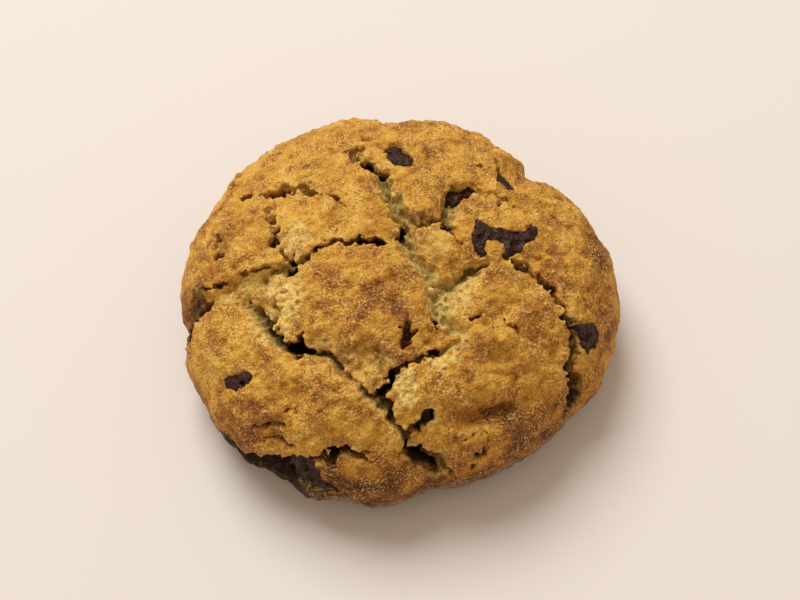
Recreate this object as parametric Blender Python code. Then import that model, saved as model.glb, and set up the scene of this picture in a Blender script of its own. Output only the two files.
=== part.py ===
"""Chocolate chip cookie: a domed piece of baked dough, split by cracks, with the chocolate that shows in it.

Metres, +Z up. The origin is the middle of the flat base, and the front is towards -Y.
Places on the crust are (u, v) on a flat map of it, in millimetres. The map's centre is the top of the dome,
+u runs towards +X and +v towards +Y, and a point's distance from the centre is measured along the crust,
so the crust meets the base about 64 mm out.
"""

import math

import bmesh
import bpy
import numpy as np
from mathutils import Matrix, Vector
from mathutils.geometry import intersect_point_line

MM = 0.001

# Driving dimensions
RADIUS = 41.4 * MM  # of the outline, before its bulges and notches
HEIGHT = 31.0 * MM
GIRTH_HEIGHT = 9.5 * MM  # where the cookie is widest
CROWN_POWER = 2.25  # 2 is an ellipse, and more is squarer
SKIRT_POWER = 2.5
SKIRT_HEIGHT = 14.5 * MM  # of the curve below the girth, before the base cuts it off
VALLEY_DEPTH = 1.1 * MM  # where the crust rolls down to a crack
VALLEY_HALF_WIDTH = 3.4 * MM
CRACK_DEPTH = 0.2  # of a crack's middle line under the crust, as a share of the crack's width
SOCKET_GAP = 0.3 * MM  # between a piece of chocolate and the dough round it
ROUNDING = 0.55  # of a piece of chocolate's edges, as a share of its shortest half side

# How finely the shapes are divided
SEGMENTS = 64
CRUST_RINGS = 26
BASE_RINGS = 4
CRACK_STEP = 2.2 * MM  # between the sections of a crack
CHIP_SEGMENTS = 14
CAP_WELD = 0.01 * MM  # joins a crack's end caps to its sides

# Bulges and notches of the outline: direction in degrees from +X, half width in degrees, height in mm
OUTLINE_WAVES = [
    (0, 26, 2.2),
    (42, 9, -3.0),
    (90, 6, -1.8),
    (120, 30, 0.4),
    (170, 8, 0.4),
    (-171, 6, -1.4),
    (-142, 14, 0.9),
    (-104, 12, 0.8),
    (-78, 7, -1.3),
    (-60, 24, -1.8),
]

# Swells and dips of the crust: u, v, half length along u, half length along v, height, all in mm
CRUST_WAVES = [
    (-5, -9, 9, 9, 1.3),
    (-4, -24, 6, 3, -1.6),
    (9, -11, 3, 6, -1.5),
    (-21, -11, 5, 5, -0.8),
    (7, 1, 5, 5, -0.9),
    (16, -30, 11, 4, 0.8),
    (24, -34, 8, 2.5, -1.0),
    (18, -19, 4, 2.5, 0.7),
    (28, 28, 4, 5, -1.2),
    (-33, -7, 6, 3, -1.2),
]

# Cracks: name, then the route's points as u, v and the crack's width there, all in mm
CRACKS = {
    "west": [(-50, -14, 3.6), (-41, -9, 5.0), (-31, -7, 5.4), (-24, -4.8, 3.4), (-17, -3, 1.8)],
    "top": [(-16, -2, 1.0), (-12, 0, 2.0), (-5, 0.8, 2.6), (0, 0.6, 1.4)],
    "south_west": [(-27, -9, 1.2), (-22, -16, 3.2), (-16.5, -20, 4.6), (-10, -23, 2.8), (-3, -29.5, 3.0)],
    "south": [(0.5, -22, 1.6), (-1.5, -28, 3.0), (0, -34, 2.8), (5.5, -42, 4.2), (11, -47.5, 2.0)],
    "middle": [(0, -23, 1.6), (7.5, -20.5, 3.2), (10, -14, 5.0), (9, -8, 4.0), (16, -4, 3.0)],
    "north": [(-5, 19.5, 1.6), (-1.6, 13.5, 4.0), (1.5, 4, 3.0), (5.5, -5.5, 2.6)],
    "north_east": [(1.5, 7, 1.6), (9.5, 6, 2.6), (12, 12.5, 4.0), (19, 13.5, 1.4)],
    "east": [(22, -2.5, 1.6), (29.5, -6.5, 2.4), (33, -17, 3.6), (37, -25, 4.6), (42, -30, 3.2)],
    "north_west": [(-35, 12, 1.2), (-24, 14.8, 2.2), (-17, 14.8, 2.2), (-8, 8.5, 1.2)],
    "link": [(-23.5, 13, 1.2), (-22.5, 5, 2.2), (-18, 1, 3.4), (-19, -3, 2.4)],
    "foot": [(-16, -38.5, 1.4), (-12, -39.5, 2.8), (-5, -39, 1.6)],
    "hem": [(-38, -34, 1.6), (-31, -40, 4.0), (-24, -42.5, 2.4)],
    "rear": [(-2, 38, 1.2), (0, 44, 3.2), (2, 52, 2.0)],
}

# Chocolate: name, then u, v, length, width and thickness in mm, the turn from +u in degrees,
# and the height of the piece's top above the crust in mm
BLOCKS = {
    "chunk_east": (20.2, 2.6, 11.0, 5.6, 4.6, -8, 0.7),
    "chunk_front": (-18.0, -43.6, 8.0, 7.4, 4.4, 60, 0.4),
}
OVALS = {
    "chip_back": (1.2, 22.6, 7.0, 5.2, 3.4, -60, 0.5),
    "chip_east": (38.3, -13.6, 8.6, 5.4, 3.6, 85, 0.9),
    "chip_west": (-29.0, -24.6, 6.6, 4.2, 3.0, 24, 0.4),
    "chip_north": (12.6, 13.2, 6.4, 2.8, 3.0, 34, -0.6),
    "chip_north_east": (23.0, 18.6, 5.4, 2.4, 2.6, -62, 0.5),
    "chip_south": (6.4, -34.4, 3.8, 2.8, 2.6, 25, 0.3),
    "chip_hem": (-25.2, -41.2, 3.4, 2.2, 2.4, -20, 0.2),
    "sliver_east": (37.4, -25.8, 5.6, 2.2, 2.6, -66, -0.5),
    "chip_rear_left": (-27.0, 37.0, 6.4, 5.0, 3.4, 40, 0.5),
    "chip_rear_right": (21.0, 43.0, 7.6, 5.0, 3.6, -15, 0.6),
}

# Colours, as linear red, green and blue
DOUGH_COLOUR = (0.47, 0.22, 0.05)
CHOCOLATE_COLOUR = (0.045, 0.022, 0.014)


def clear_scene():
    for obj in list(bpy.data.objects):
        bpy.data.objects.remove(obj)


def material(name, colour, roughness):
    """A matt, unmetallic material."""
    made = bpy.data.materials.new(name)
    made.use_nodes = True
    made.diffuse_color = (*colour, 1)
    shader = made.node_tree.nodes["Principled BSDF"]
    shader.inputs["Base Color"].default_value = (*colour, 1)
    shader.inputs["Roughness"].default_value = roughness
    shader.inputs["Metallic"].default_value = 0
    return made


def turned_profile(points_per_curve=90):
    """The dome's section: share of the outline's radius, height, and distance along the crust."""
    angle = np.linspace(0, math.pi / 2, points_per_curve)
    crown = (np.sin(angle) ** (2 / CROWN_POWER), np.cos(angle) ** (2 / CROWN_POWER))
    skirt = (np.cos(angle) ** (2 / SKIRT_POWER), np.sin(angle) ** (2 / SKIRT_POWER))
    share = np.append(crown[0], skirt[0][1:])
    height = np.append(
        GIRTH_HEIGHT + (HEIGHT - GIRTH_HEIGHT) * crown[1],
        GIRTH_HEIGHT - SKIRT_HEIGHT * skirt[1][1:],
    )
    edge = np.argmax(height < 0)
    cut = height[edge - 1] / (height[edge - 1] - height[edge])
    share[edge] = share[edge - 1] + cut * (share[edge] - share[edge - 1])
    height[edge] = 0
    share, height = share[: edge + 1], height[: edge + 1]
    steps = np.hypot(np.diff(share * RADIUS), np.diff(height))
    return share, height, np.append(0, np.cumsum(steps))


SHARE, PROFILE_HEIGHT, ALONG = turned_profile()


def outline(direction):
    """Outline radius less RADIUS, in the direction given in radians."""
    height = 0
    for centre, half_width, wave in OUTLINE_WAVES:
        apart = (math.degrees(direction) - centre + 180) % 360 - 180
        height += wave * MM * math.exp(-((apart / half_width) ** 2))
    return height


def outline_centre():
    """The middle of the outline's box, which the model is shifted by so that its origin is there."""
    points = [from_axis(math.radians(degrees), 1, 0) for degrees in range(360)]
    return Vector(
        (
            (min(point.x for point in points) + max(point.x for point in points)) / 2,
            (min(point.y for point in points) + max(point.y for point in points)) / 2,
            0,
        )
    )


def from_axis(direction, share, height):
    """The point at a share of the outline's radius, where bulges and notches fade towards the middle."""
    radius = share * (RADIUS + outline(direction) * share**2)
    return Vector((radius * math.cos(direction), radius * math.sin(direction), height))


CENTRE = outline_centre()


def to_crack(u, v):
    """Distance on the map from a place to the nearest crack."""
    place = Vector((u, v, 0))
    nearest = math.inf
    for route in CRACKS.values():
        for start, end in zip(route, route[1:]):
            start, end = Vector((*start[:2], 0)), Vector((*end[:2], 0))
            foot, share = intersect_point_line(place, start, end)
            foot = start if share < 0 else end if share > 1 else foot
            nearest = min(nearest, (place - foot).length * MM)
    return nearest


def crust_wave(u, v):
    """Height of the crust's swells and dips at a place on the map, with the valleys that hold the cracks."""
    waves = MM * sum(
        height * math.exp(-(((u - at_u) / half_u) ** 2) - (((v - at_v) / half_v) ** 2))
        for at_u, at_v, half_u, half_v, height in CRUST_WAVES
    )
    return waves - VALLEY_DEPTH * math.exp(-((to_crack(u, v) / VALLEY_HALF_WIDTH) ** 2))


def plain_crust(u, v):
    """The point at a place on the map, without swells and dips."""
    along = math.hypot(u, v) * MM
    share, height = np.interp(along, ALONG, SHARE), np.interp(along, ALONG, PROFILE_HEIGHT)
    return from_axis(math.atan2(v, u), share, height) - CENTRE


def crust_axes(u, v, step=0.5):
    """Unit vectors at a place on the map: along +u, along +v and out of the crust. step is in mm."""
    along_u = (plain_crust(u + step, v) - plain_crust(u - step, v)).normalized()
    outward = along_u.cross(plain_crust(u, v + step) - plain_crust(u, v - step)).normalized()
    return along_u, outward.cross(along_u), outward


def crust(u, v):
    """The point on the crust at a place on the map, and the direction out of it."""
    outward = crust_axes(u, v)[2]
    return plain_crust(u, v) + outward * crust_wave(u, v), outward


def make_object(name, mesh, collection, surface):
    made = bpy.data.objects.new(name, mesh)
    collection.objects.link(made)
    made.data.materials.append(surface)
    return made


def make_body(collection, surface):
    """The dough before it is cracked: a sphere whose rings are moved onto the dome's section and the base."""
    mesh = bpy.data.meshes.new("cookie")
    shape = bmesh.new()
    rings = CRUST_RINGS + BASE_RINGS
    bmesh.ops.create_uvsphere(shape, u_segments=SEGMENTS, v_segments=rings, radius=1)
    for vertex in shape.verts:
        x, y, z = vertex.co
        direction = math.atan2(y, x)
        ring = round(math.acos(max(-1, min(1, z))) / math.pi * rings)
        if ring < CRUST_RINGS:
            along = ALONG[-1] / MM * ring / CRUST_RINGS
            vertex.co = crust(along * math.cos(direction), along * math.sin(direction))[0]
        else:
            inward = (ring - CRUST_RINGS) / BASE_RINGS
            vertex.co = from_axis(direction, SHARE[-1] * (1 - inward), 0) - CENTRE
    shape.to_mesh(mesh)
    shape.free()
    mesh.shade_smooth()
    return make_object("cookie", mesh, collection, surface)


def smooth_route(points):
    """A curve through the points, read every CRACK_STEP or so (Catmull-Rom)."""
    points = np.array(points, float)
    ends = np.vstack([2 * points[0] - points[1], points, 2 * points[-1] - points[-2]])
    route = []
    for before, start, end, after in zip(ends, ends[1:], ends[2:], ends[3:]):
        count = max(1, round(math.dist(start[:2], end[:2]) * MM / CRACK_STEP))
        for t in np.arange(count) / count:
            cubic = 3 * start - before - 3 * end + after
            square = 2 * before - 5 * start + 4 * end - after
            route.append(start + (end - before) * t / 2 + square * t**2 / 2 + cubic * t**3 / 2)
    return [*route, points[-1]]


def make_crack_cutter(name, points, collection, surface):
    """A tube laid along the crust, as wide as the crack and centred a little under it."""
    curve = bpy.data.curves.new("crack_" + name, "CURVE")
    curve.dimensions = "3D"
    curve.bevel_depth = 1
    curve.bevel_resolution = 1
    curve.use_fill_caps = True
    spline = curve.splines.new("POLY")
    route = smooth_route(points)
    spline.points.add(len(route) - 1)
    for point, (u, v, width) in zip(spline.points, route):
        place, outward = crust(u, v)
        point.co = (*(place - outward * width * CRACK_DEPTH * MM), 1)
        point.radius = width / 2 * MM
    as_mesh(bpy.data.objects.new("crack_" + name, curve), collection, surface)


def as_mesh(curve_object, collection, surface):
    """The curve object's shape as a closed mesh object of the same name, which takes its place."""
    bpy.context.scene.collection.objects.link(curve_object)
    bpy.context.view_layer.update()
    evaluated = curve_object.evaluated_get(bpy.context.evaluated_depsgraph_get())
    mesh = bpy.data.meshes.new_from_object(evaluated)
    shape = bmesh.new()
    shape.from_mesh(mesh)
    bmesh.ops.remove_doubles(shape, verts=shape.verts, dist=CAP_WELD)
    bmesh.ops.recalc_face_normals(shape, faces=shape.faces)
    shape.to_mesh(mesh)
    shape.free()
    name, placement = curve_object.name, curve_object.matrix_world.copy()
    bpy.data.objects.remove(curve_object)
    make_object(name, mesh, collection, surface).matrix_world = placement


def add_block(shape):
    """A block 2 across, and the edges of it that are rounded."""
    bmesh.ops.create_cube(shape, size=2)
    return shape.edges


def add_oval(shape):
    """A disc 2 across and 2 thick, and the edges of it that are rounded: those of its two ends."""
    bmesh.ops.create_cone(shape, cap_ends=True, segments=CHIP_SEGMENTS, radius1=1, radius2=1, depth=2)
    return [edge for edge in shape.edges if edge.verts[0].co.z * edge.verts[1].co.z > 0]


def make_chocolate(name, add_core, sizes, collection, surface, grow=0):
    """A piece of chocolate set in the crust. grow is added on every side, for the socket it sits in."""
    u, v, length, width, thickness, turn, stands_out = sizes
    half = Vector((length, width, thickness)) * MM / 2 + Vector((grow, grow, grow))
    shape = bmesh.new()
    rounded = add_core(shape)
    bmesh.ops.scale(shape, verts=shape.verts, vec=half)
    bmesh.ops.bevel(shape, geom=rounded, offset=ROUNDING * min(half), segments=2, profile=0.6, affect="EDGES")
    mesh = bpy.data.meshes.new(name)
    shape.to_mesh(mesh)
    shape.free()
    mesh.shade_smooth()
    along_u, along_v, outward = crust_axes(u, v)
    axes = Matrix((along_u, along_v, outward)).transposed() @ Matrix.Rotation(math.radians(turn), 3, "Z")
    place = crust(u, v)[0] + outward * (stands_out - thickness / 2) * MM
    make_object(name, mesh, collection, surface).matrix_world = Matrix.Translation(place) @ axes.to_4x4()


def cut(body, cutters):
    """Cuts all the cutters at once, as many of them run into each other."""
    for cutter in cutters.objects:
        cutter.hide_render = True
        cutter.display_type = "WIRE"
    modifier = body.modifiers.new("cracks and sockets", "BOOLEAN")
    modifier.operand_type = "COLLECTION"
    modifier.collection = cutters
    modifier.solver = "EXACT"


def main():
    clear_scene()
    dough = material("dough", DOUGH_COLOUR, 0.75)
    chocolate = material("chocolate", CHOCOLATE_COLOUR, 0.5)
    parts = bpy.data.collections.new("chocolate chip cookie")
    cutters = bpy.data.collections.new("cutters")
    for collection in (parts, cutters):
        bpy.context.scene.collection.children.link(collection)

    body = make_body(parts, dough)
    for name, points in CRACKS.items():
        make_crack_cutter(name, points, cutters, dough)
    for pieces, add_core in ((BLOCKS, add_block), (OVALS, add_oval)):
        for name, sizes in pieces.items():
            make_chocolate(name, add_core, sizes, parts, chocolate)
            make_chocolate("socket_" + name, add_core, sizes, cutters, dough, grow=SOCKET_GAP)
    cut(body, cutters)


main()
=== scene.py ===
"""Looks of the chocolate chip cookie: its crust, cracks, crumb and chocolate, the floor, lights and camera.

The shapes are worked out in millimetres. Places on the crust are (u, v) on a flat map of it: the centre is
the top of the dome, +u runs towards +X and +v towards +Y, and distance from the centre is measured along the
crust. Each piece is a field of distances in a grid of points, and its surface is where the field passes
through 0.
"""

import math

import bpy
import numpy as np
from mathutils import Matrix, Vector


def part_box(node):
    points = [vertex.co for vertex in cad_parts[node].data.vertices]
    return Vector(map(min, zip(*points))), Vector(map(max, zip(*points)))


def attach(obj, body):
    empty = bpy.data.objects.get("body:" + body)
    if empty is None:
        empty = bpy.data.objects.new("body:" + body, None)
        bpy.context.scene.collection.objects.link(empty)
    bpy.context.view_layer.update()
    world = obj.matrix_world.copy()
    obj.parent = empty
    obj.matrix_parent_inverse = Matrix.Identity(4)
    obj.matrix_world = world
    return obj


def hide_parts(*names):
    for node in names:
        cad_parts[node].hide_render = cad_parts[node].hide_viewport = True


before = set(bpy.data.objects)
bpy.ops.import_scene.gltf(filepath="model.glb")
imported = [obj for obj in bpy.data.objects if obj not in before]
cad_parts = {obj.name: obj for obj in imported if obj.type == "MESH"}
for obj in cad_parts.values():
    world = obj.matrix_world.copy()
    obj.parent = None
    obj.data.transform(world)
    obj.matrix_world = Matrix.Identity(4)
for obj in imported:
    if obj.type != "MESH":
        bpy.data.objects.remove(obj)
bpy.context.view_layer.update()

import openvdb
from mathutils import Matrix, Vector

MM = 0.001

# The dome, as in the CAD
RADIUS = 41.4
HEIGHT = 31.0
GIRTH_HEIGHT = 9.5
CROWN_POWER = 2.25
SKIRT_POWER = 2.5
SKIRT_HEIGHT = 14.5
# Bulges and notches of the outline: direction in degrees from +X, half width in degrees, height
OUTLINE_WAVES = [
    (0, 26, 2.2), (42, 9, -3), (90, 8, -1.1), (90.5, 2.5, -1), (120, 30, 0.4), (172, 9, -0.3),
    (-173, 6, -0.8), (-142, 14, 0.9), (-104, 12, 0.8), (-79, 7, -1.5), (-60, 24, -1.8), (17, 5, -0.5),
    (9, 4, 0.3), (56.5, 5, -1.2), (-171, 2, -1.5), (48, 2, 0.4), (44.6, 1.8, -1.2), (53.5, 3, -0.7),
    (154, 7, -0.8), (-148.5, 4.5, -0.9), (-131, 5.5, 1.2), (-116, 7, 0.3), (-110.5, 3, 0.8),
    (-102.5, 2.5, -0.8), (-93, 5, 0.4), (-53, 12, 0.5), (-25, 4.5, 0.9),
]
CENTRE = np.array((1.04, -0.27, 0.0))  # from the dome's axis to the origin

# Swells and dips of the crust: u, v, half length along u and along v, turn in degrees, height
SWELLS = [
    (-5, -10, 8.5, 8.5, 0, 1.3), (9, -11, 3.5, 7, 0, -0.9), (-21, -11, 5, 6, 0, -0.5), (7, 1, 5, 5, 0, -0.6),
    (16, -30, 11, 4, 8, 0.9), (19.4, -32.6, 6.5, 1.6, 20, -3.2), (21, -36.2, 8, 2, 17, 0.9),
    (18, -19.5, 3.6, 2.2, 12, 1.4), (20, -22.2, 3.2, 1.1, 5, -1.5), (14.5, -30.5, 4, 1.6, 0, -0.9),
    (10, -25, 5, 2.5, 25, 0.5), (29, 24, 2.4, 9, -38, -1.8), (24, 27, 3.5, 3.5, 0, 0.7),
    (37, 13, 2.4, 2, 0, 0.7), (-33, -7, 6, 3, 0, -0.4), (-16, -33, 5, 4, 0, 0.5),
    (-24, -31.6, 4, 1, -5, 0.6), (-23.5, -35, 4, 1, -5, 0.6), (-24, -38.6, 5, 1, -5, 0.5),
    (-32, -31, 6, 1.2, -38, -0.5), (-8, -33, 4, 3, 0, 0.6), (12, -41, 4, 3, 0, 0.5), (4, 15, 5, 5, 0, 0.5),
    (-14, 8, 8, 4, 0, 0.5), (14, 8, 4, 3, 0, 0.5),
]

# Cracks: the route as u, v, width and depth, then how steep the walls are (1 is a plain V), how far the
# crack leans for each mm down, along u and v, how pale it is inside, and how much painted shade darkens it
# inside
CRACKS = [
    # West arm, burnt at its end
    ([(-54, -15, 2.6, 4), (-47, -12.4, 3.4, 4.2), (-42, -10, 3.6, 3.8), (-39.5, -8.2, 3.2, 3)],
     1.6, (0, 0.3), 0.1, 0.55),
    ([(-38, -4.6, 0.6, 2), (-35, -4.2, 0.8, 2.2), (-32.6, -4.2, 0.4, 1.4)], 2, (0, 0.4), 0.2, 0.6),
    ([(-29.4, -3.9, 0.4, 1.4), (-27, -3.6, 0.9, 2.2), (-23, -3.2, 1.1, 2.2)], 2, (0, 0.4), 0.2, 0.6),
    ([(-25, -5.2, 1.8, 1.6), (-23, -4.6, 2.2, 2.2), (-20, -4, 1.8, 2.6), (-16, -2.5, 1.2, 2.2)],
     1.6, (0, 0.4), 0.9, 0.1),
    # Top edge of the centre plate
    ([(-16, -2.3, 0.6, 1.3), (-14.5, -1.3, 0.9, 1.7), (-11.2, 0.1, 1.6, 2), (-8.8, 0.3, 1.2, 2.2)],
     1.6, (0, 0.5), 0.1, 0.55),
    ([(-8.6, 0, 1, 2.6), (-6, 0.3, 1.4, 4.2), (-3.5, 0.2, 1.4, 4.2), (-1.6, -0.2, 0.9, 2.6)],
     2.4, (0, 0.5), 0, 0.9),
    # South-west
    ([(-28, -9.5, 1.8, 2.2), (-25.5, -12.6, 2.6, 3.2), (-23, -16, 2.4, 4.2), (-21, -18.6, 2.2, 5)],
     2, (0.1, 0.3), 0.8, 0.3),
    ([(-21.4, -18.2, 1.5, 5), (-19.8, -19.4, 2.1, 6.5), (-17.6, -20.4, 2.4, 7.5), (-15.4, -20.8, 1.8, 6)],
     3.4, (0.1, 0.2), 0.2, 1),
    ([(-14.4, -21.3, 1.2, 3), (-13, -21.8, 1.5, 3), (-11, -22.8, 1.7, 2.6), (-9.6, -24.6, 1.4, 2),
      (-7.6, -26.4, 1.2, 1.8), (-6.2, -28.4, 1.2, 2.4), (-4.4, -30, 1.4, 3), (-2, -30, 1.8, 4)],
     1.6, (0.1, 0.3), 0.6, 0.4),
    ([(-16, -19.8, 1.9, 6), (-16.1, -18.4, 1.3, 4.5), (-16.9, -17.2, 0.7, 2.5)], 2.4, (0, 0.2), 0.2, 1),
    # Middle, from the south junction to the centre valley
    ([(-2.4, -29.8, 1.6, 5), (-0.8, -28.3, 1.6, 5.5), (-0.4, -26.4, 1.3, 5), (1.4, -25.2, 1, 4),
      (3.6, -24.1, 0.9, 3.4), (5.8, -23.3, 1, 3.2), (7.6, -22.6, 1.3, 3.2)], 2, (0.1, 0.3), 0.5, 0.6),
    ([(7.6, -22.4, 1.6, 2.6), (10, -21.4, 2, 1.8), (12, -20, 2.2, 1.5), (13, -18.2, 1.6, 1.2)],
     1.3, (0.1, 0.3), 1, 0),
    # Centre valley
    ([(12.5, -17.5, 2.4, 1.6), (9, -15, 4.4, 2.4), (8, -10.6, 4.2, 2.4), (10, -8, 3.8, 2.6),
      (13, -6, 3.4, 2.8), (15, -4.7, 2.6, 3), (17.5, -3.2, 1.6, 2)], 1.1, (0, 0.2), 1, 0),
    # North
    ([(-4, 18.8, 1.4, 2.5), (-2.3, 17, 2.6, 3.2), (-1.3, 13, 3.4, 3.4), (0.3, 9.5, 3.6, 3.2),
      (1.5, 6, 3.2, 3.4), (2.5, 1.5, 3, 3), (4, -2, 3.2, 2.4), (6, -5.5, 3.4, 2.4), (8, -9, 3.2, 2.2)],
     1.2, (0.2, 0.1), 0.95, 0),
    # North-east
    ([(1.5, 6.5, 1.4, 2.2), (5, 5.4, 1.6, 2.4), (8, 5.6, 1.3, 2.6), (9.8, 5.6, 1.3, 3.5)],
     1.5, (0, 0.3), 0.7, 0.3),
    ([(10.3, 5.8, 1.6, 3), (10.6, 8.2, 2.4, 3.4), (11.4, 11, 3.4, 3.6), (14, 13.6, 3.2, 3.2),
      (17, 15, 1.8, 2.2), (19, 13.5, 1.2, 1.6), (22, 12.3, 0.9, 1.2)], 1.6, (0, 0.3), 0.85, 0.1),
    ([(20.2, 12.2, 0.5, 1.6), (21.8, 11.4, 0.7, 2.4), (24.4, 10.5, 0.4, 1.2)], 2.2, (0, 0.4), 0.2, 0.8),
    ([(10, 4.6, 0.8, 2), (11, 2.8, 0.8, 2), (12.6, 0.8, 0.7, 1.6)], 1.8, (0, 0), 0.1, 0.6),
    ([(20.4, 24.5, 0.5, 0.9), (21.2, 22.5, 0.7, 1.4), (22, 20.6, 0.8, 1.4)], 1.8, (0, 0), 0.2, 0.6),
    ([(16.4, 22.8, 0.9, 1), (17.8, 22.3, 1.5, 1.4)], 1.4, (0, 0), 0, 0.5),
    # East: a chain of pits, then one deep crack
    ([(22.6, -2.2, 1.6, 2.4), (24.2, -3, 1.7, 2.6), (25.6, -4, 0.9, 1.6)], 1.8, (0, 0.2), 0.1, 0.7),
    ([(25.6, -4, 0.7, 1), (27.6, -5.2, 0.9, 2)], 1.8, (0, 0.2), 0.1, 0.8),
    ([(28.4, -5.8, 1.4, 2.4), (29.8, -6.8, 1.7, 2.6), (30.6, -7.8, 0.8, 1.6)], 1.8, (0, 0.2), 0, 0.7),
    ([(31.2, -8.4, 1.3, 2), (31.9, -9.4, 0.9, 1.6)], 1.6, (0, 0), 0, 0.4),
    ([(32, -9.8, 0.6, 1.2), (32.8, -11.6, 2, 3.4), (33.6, -13.2, 1.5, 3.2), (34.6, -15.4, 0.9, 3)],
     2, (-0.1, 0), 0.1, 0.6),
    ([(34.5, -15.4, 1.2, 5), (34.9, -18.2, 1.9, 7), (35.1, -20.6, 2, 7), (36.2, -23, 2, 6)],
     3.4, (0, 0), 0, 1),
    ([(37.4, -22.8, 3, 4.2), (38.6, -25.2, 4, 4.6), (39.6, -27.4, 4, 4.4), (40.6, -29.4, 2.8, 3.6)],
     2.4, (0, 0), 0, 0.9),
    # South
    ([(-2, -30, 2, 4), (-1.2, -32, 1.5, 4.2), (0.2, -34.4, 1.5, 4.2), (1.6, -36.2, 1.5, 4)],
     2, (0, 0.2), 0.7, 0.6),
    ([(1.6, -36.2, 1.2, 3.4), (4, -36.4, 1.2, 3.4), (5.6, -36, 1.6, 3.6), (7.2, -34.6, 2.4, 3.8)],
     2.2, (0, 0.3), 0.7, 0.6),
    ([(1.8, -36.6, 1.8, 3.4), (2.4, -38.8, 1.6, 4)], 1.8, (0, 0.2), 0.8, 0.2),
    ([(2.6, -39.8, 2.2, 5.5), (5, -42.2, 3, 7), (7.2, -45, 2.6, 6.5), (10, -47.4, 1.6, 4)],
     2.6, (-0.1, 0.3), 0.1, 1),
    ([(7.6, -42.6, 2.4, 2.2), (10, -44.8, 3.2, 2.4), (12.6, -46.8, 2, 1.8), (14.5, -48.4, 0.8, 1)],
     1.3, (-0.3, 0.2), 0.2, 0.5),
    # Foot
    ([(-16, -39.6, 1, 2), (-14.2, -40.2, 1.8, 4.5), (-12, -40.6, 2.6, 5), (-9.8, -39.4, 1.9, 5),
      (-7.4, -40.2, 1.8, 4.6), (-5, -40.4, 1.5, 3.6), (-3, -41.4, 0.8, 1.6)], 2.8, (0, 0.5), 0, 1),
    ([(-12, -41.4, 2, 4), (-11.6, -43, 1, 2.2)], 1.8, (0, 0.3), 0, 0.7),
    # Hem
    ([(-40, -34.5, 1.6, 2.5), (-36, -38.4, 3.4, 4.5), (-31, -42.4, 5, 6.5), (-26, -43.8, 6.4, 7),
      (-21, -44.2, 7, 6.5), (-17, -46, 4, 5), (-13, -49, 1.6, 2)], 3, (0, 0.5), 0, 1),
    # Folds above it
    ([(-27, -33.4, 0.4, 0.6), (-24, -33.3, 1, 1.3), (-21.5, -33.8, 1.1, 1.3), (-20, -35, 0.5, 0.8)],
     1.2, (0, 0.4), 0, 0.4),
    ([(-26, -36.6, 0.4, 0.6), (-23.5, -36.4, 1.1, 1.5), (-21, -36.9, 1.2, 1.5), (-19, -38.6, 0.6, 0.9)],
     1.2, (0, 0.4), 0, 0.5),
    ([(-19, -31.6, 0.8, 1.2), (-17.2, -31.2, 0.5, 0.7)], 1.4, (0, 0.3), 0, 0.5),
    # North-west, and the link from it to the west arm
    ([(-35.8, 14.6, 0.6, 0.9), (-34, 15, 1.2, 1.4), (-32.4, 15.4, 0.7, 0.9)], 1.4, (0, 0.3), 0.4, 0.3),
    ([(-30.6, 15.6, 1.3, 1.7), (-29.2, 15.8, 1.8, 2.4), (-27.6, 15.6, 1, 1.4)], 1.8, (0, 0.2), 0.25, 0.75),
    ([(-26.2, 14.6, 1.4, 2), (-24.6, 15.2, 2.3, 2.8), (-22.4, 14.9, 2, 2.6), (-20.2, 14.8, 1.9, 2.6),
      (-18.8, 14.8, 1, 1.6)], 1.8, (0, 0.2), 0.25, 0.75),
    ([(-17.4, 14.9, 1.3, 1.8), (-15.8, 13.6, 1.7, 2.3), (-14.4, 12.4, 1.3, 2.1)], 1.8, (0, 0.2), 0.2, 0.7),
    ([(-12.8, 12.2, 1.1, 1.9), (-11.4, 11.2, 1, 1.8), (-9.8, 9.6, 0.7, 1.4), (-8.2, 7.8, 0.5, 0.9)],
     1.8, (0, 0.2), 0.2, 0.7),
    ([(-22.8, 11, 0.7, 0.8), (-23.6, 8.4, 1.3, 2), (-22.8, 5.6, 1.2, 2), (-22.4, 2.8, 1.4, 2.6),
      (-21.4, 1.2, 0.8, 1.6), (-20, -1.5, 1, 1.8), (-19.5, -4, 1.2, 2.4)], 1.6, (0, 0.2), 0.6, 0.4),
    ([(-9.6, 8.8, 0.4, 0.6), (-8.2, 8, 0.5, 0.8), (-6.6, 8.1, 0.4, 0.6)], 1.5, (0, 0), 0.3, 0.4),
    # A hole left by a crumb
    ([(-9.9, 25, 0.7, 1.4), (-7.9, 24.6, 1.9, 1.8), (-6, 25, 0.7, 1.4), (-7.4, 23.6, 1.9, 2.1),
      (-7.6, 21.8, 1.3, 1.9), (-7.4, 19.8, 0.5, 1.4)], 3.4, (0, 0), 0.3, 0.6),
    # Hair cracks
    ([(11, -38.4, 0.4, 0.7), (13.3, -38.8, 0.5, 1), (15, -37.9, 0.6, 1), (16.2, -37.3, 0.6, 1.1),
      (18, -37.1, 0.6, 1.1), (19, -38, 0.7, 1.1), (19.4, -39.2, 0.5, 0.9)], 2, (0, 0.2), 0, 0.7),
    ([(18.5, -44.4, 0.7, 1), (18.2, -46.2, 0.8, 1.3)], 1.8, (0, 0), 0, 0.7),
    ([(20.2, -12.4, 0.5, 0.9), (20.3, -14.2, 0.6, 1), (21.8, -15.8, 0.7, 1.1), (23.4, -17, 0.5, 0.8)],
     1.8, (0, 0), 0, 0.5),
    # Rear
    ([(-1, 41, 1.6, 1.6), (0, 44, 3, 3.4), (2, 50, 2.4, 3), (3, 56, 1.4, 2)], 1.4, (0.1, 0), 0.6, 0.4),
    ([(0.5, 46, 1.6, 2.6), (6, 48, 1.2, 2.2), (11, 46, 1.4, 2.4), (16, 48, 0.8, 1.4)],
     1.8, (0, -0.3), 0.4, 0.6),
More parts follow.
